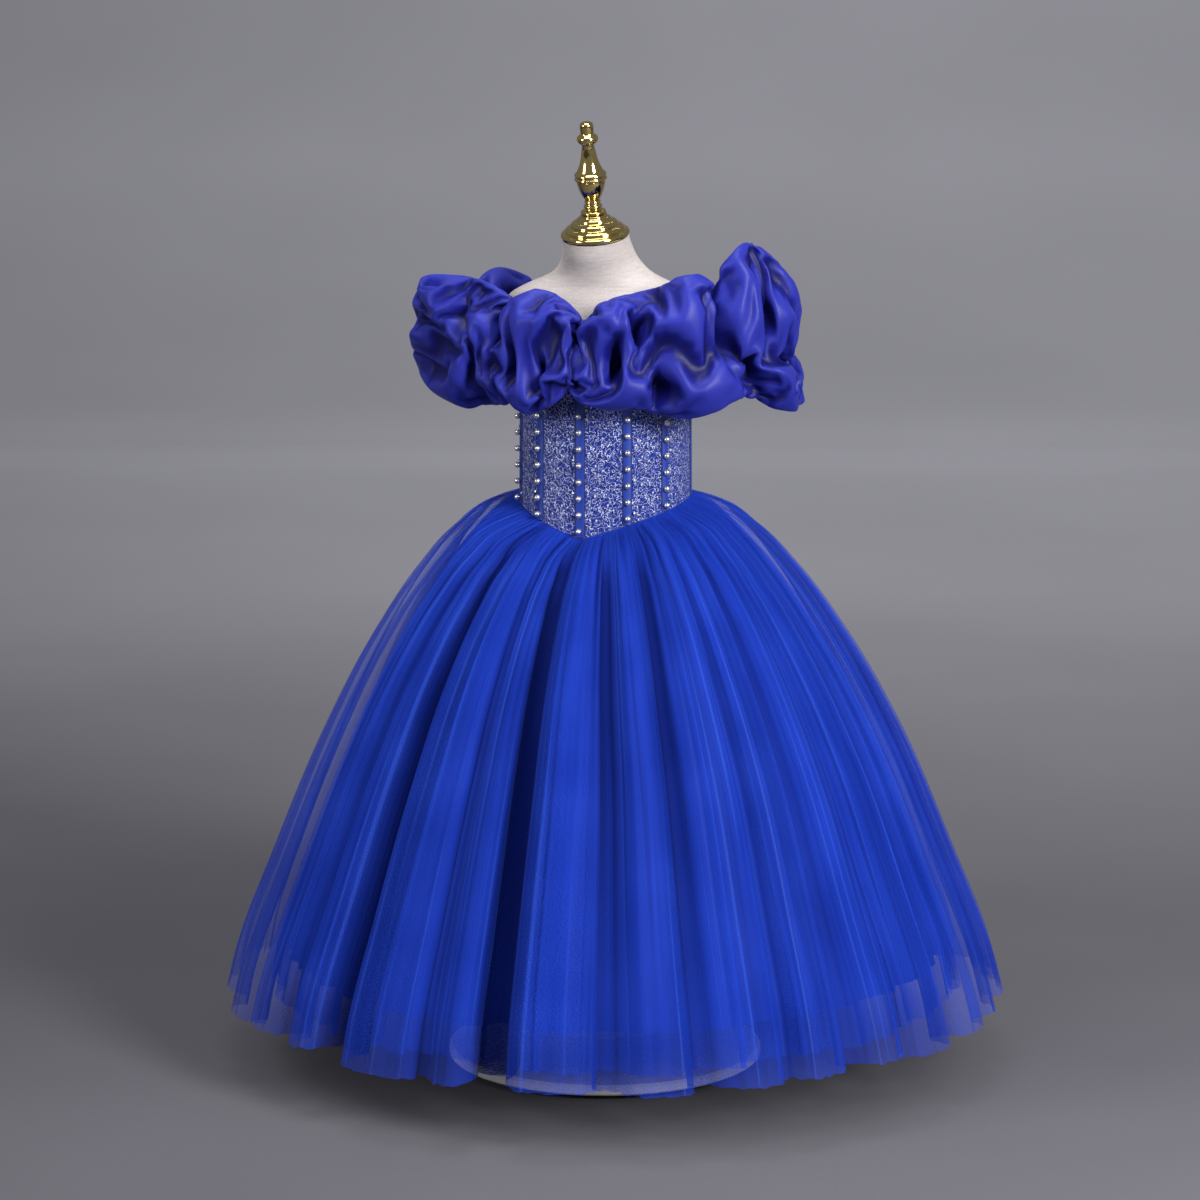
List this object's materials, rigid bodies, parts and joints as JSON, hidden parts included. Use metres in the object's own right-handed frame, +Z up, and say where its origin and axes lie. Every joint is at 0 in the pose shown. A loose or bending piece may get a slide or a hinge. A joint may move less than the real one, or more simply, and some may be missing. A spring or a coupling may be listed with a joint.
{
  "type": "ball gown on dress form",
  "caption": "Child's off-the-shoulder ball gown with a ruffled neckline, beaded bodice and full tulle skirt, on a limbless dress form with pole and round base.",
  "frame": {"origin": "centre of the underside of the dress form's round base, on the floor", "axes": "+Z up; the gown's front faces -Y and the wearer's left is +X"},
  "size_m": [0.957, 0.9561, 1.1329],
  "materials": {
    "tulle": "soft nylon tulle, sheer, semi-matt",
    "satin": "dense polyester satin, soft sheen",
    "organza": "crisp satin organza, glossy along the folds",
    "tweed": "boucle brocade flecked with silver yarn",
    "beads": "polished metal beads",
    "polished_brass": "polished and lacquered",
    "linen": "stretched plain linen",
    "painted_base": "pale satin paint",
    "plated_pole": "plated steel tube",
    "zip": "woven tape, matt"
  },
  "bodies": {
    "root": {"back_zip": "zip", "beads_centre": "beads", "beads_front_left": "beads", "beads_front_right": "beads", "beads_side_front_left": "beads", "beads_side_front_right": "beads", "bodice_back_left": "tweed", "bodice_back_right": "tweed", "bodice_front_centre_left": "tweed", "bodice_front_centre_right": "tweed", "bodice_front_side_left": "tweed", "bodice_front_side_right": "tweed", "bodice_side_left": "tweed", "bodice_side_right": "tweed", "boning_centre": "satin", "boning_front_left": "satin", "boning_front_right": "satin", "boning_side_front_left": "satin", "boning_side_front_right": "satin", "boning_side_left": "satin", "boning_side_right": "satin", "form_base": "painted_base", "form_pole": "plated_pole", "form_torso": "linen", "neck_cap": "polished_brass", "neck_finial": "polished_brass", "ruffle_back_left": "organza", "ruffle_back_right": "organza", "ruffle_front_left": "organza", "ruffle_front_right": "organza", "ruffle_sleeve_left": "organza", "ruffle_sleeve_right": "organza", "satin_back_left": "satin", "satin_back_right": "satin", "satin_front": "satin", "tulle_back_left": "tulle", "tulle_back_right": "tulle", "tulle_front": "tulle"}
  },
  "joints": []
}
